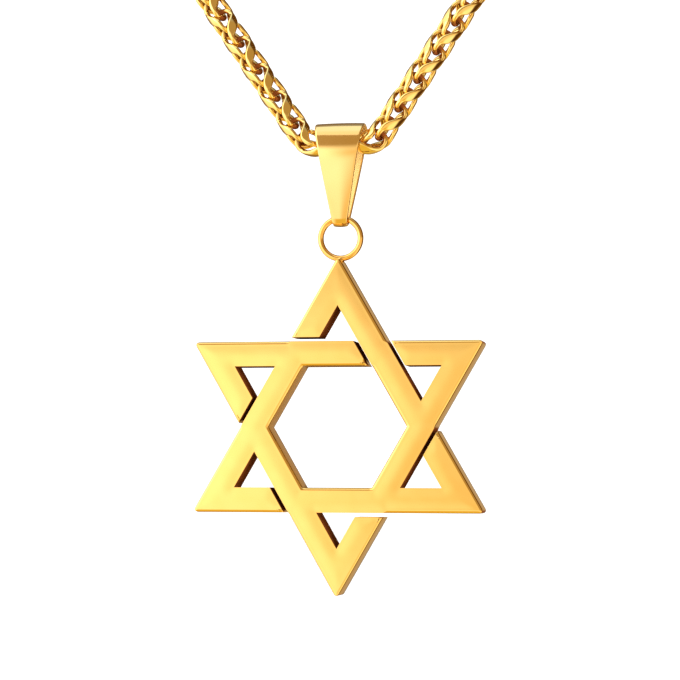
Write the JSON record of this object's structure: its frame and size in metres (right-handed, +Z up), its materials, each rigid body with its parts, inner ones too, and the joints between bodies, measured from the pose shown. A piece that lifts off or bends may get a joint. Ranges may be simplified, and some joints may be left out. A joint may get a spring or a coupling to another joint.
{
  "type": "star pendant necklace",
  "caption": "Gold-plated woven star pendant on a folded tapered bail, hanging from a whole loop of wheat chain with a plain clasp.",
  "frame": {"origin": "where the clasp lies against the nape of the wearer's neck", "axes": "+Z up, -Y the way the wearer faces, +X to the wearer's left; the star hangs in the XZ plane with its front towards -Y"},
  "size_m": [0.1282, 0.104, 0.2346],
  "materials": {
    "gold_plate": "polished yellow gold plating on stainless steel"
  },
  "bodies": {
    "necklace": {"chain": "gold_plate", "clasp": "gold_plate"},
    "bail": {"bail": "gold_plate"},
    "star": {"star_with_ring": "gold_plate"}
  },
  "joints": [
    {"name": "bail_swing", "type": "hinge", "parent": "necklace", "child": "bail", "pos_m": [0, -0.098, -0.187], "axis": [1, 0, 0], "range_deg": [-60, 60]},
    {"name": "star_swing", "type": "hinge", "parent": "bail", "child": "star", "pos_m": [0, -0.098, -0.19465], "axis": [1, 0, 0], "range_deg": [-60, 60]}
  ]
}
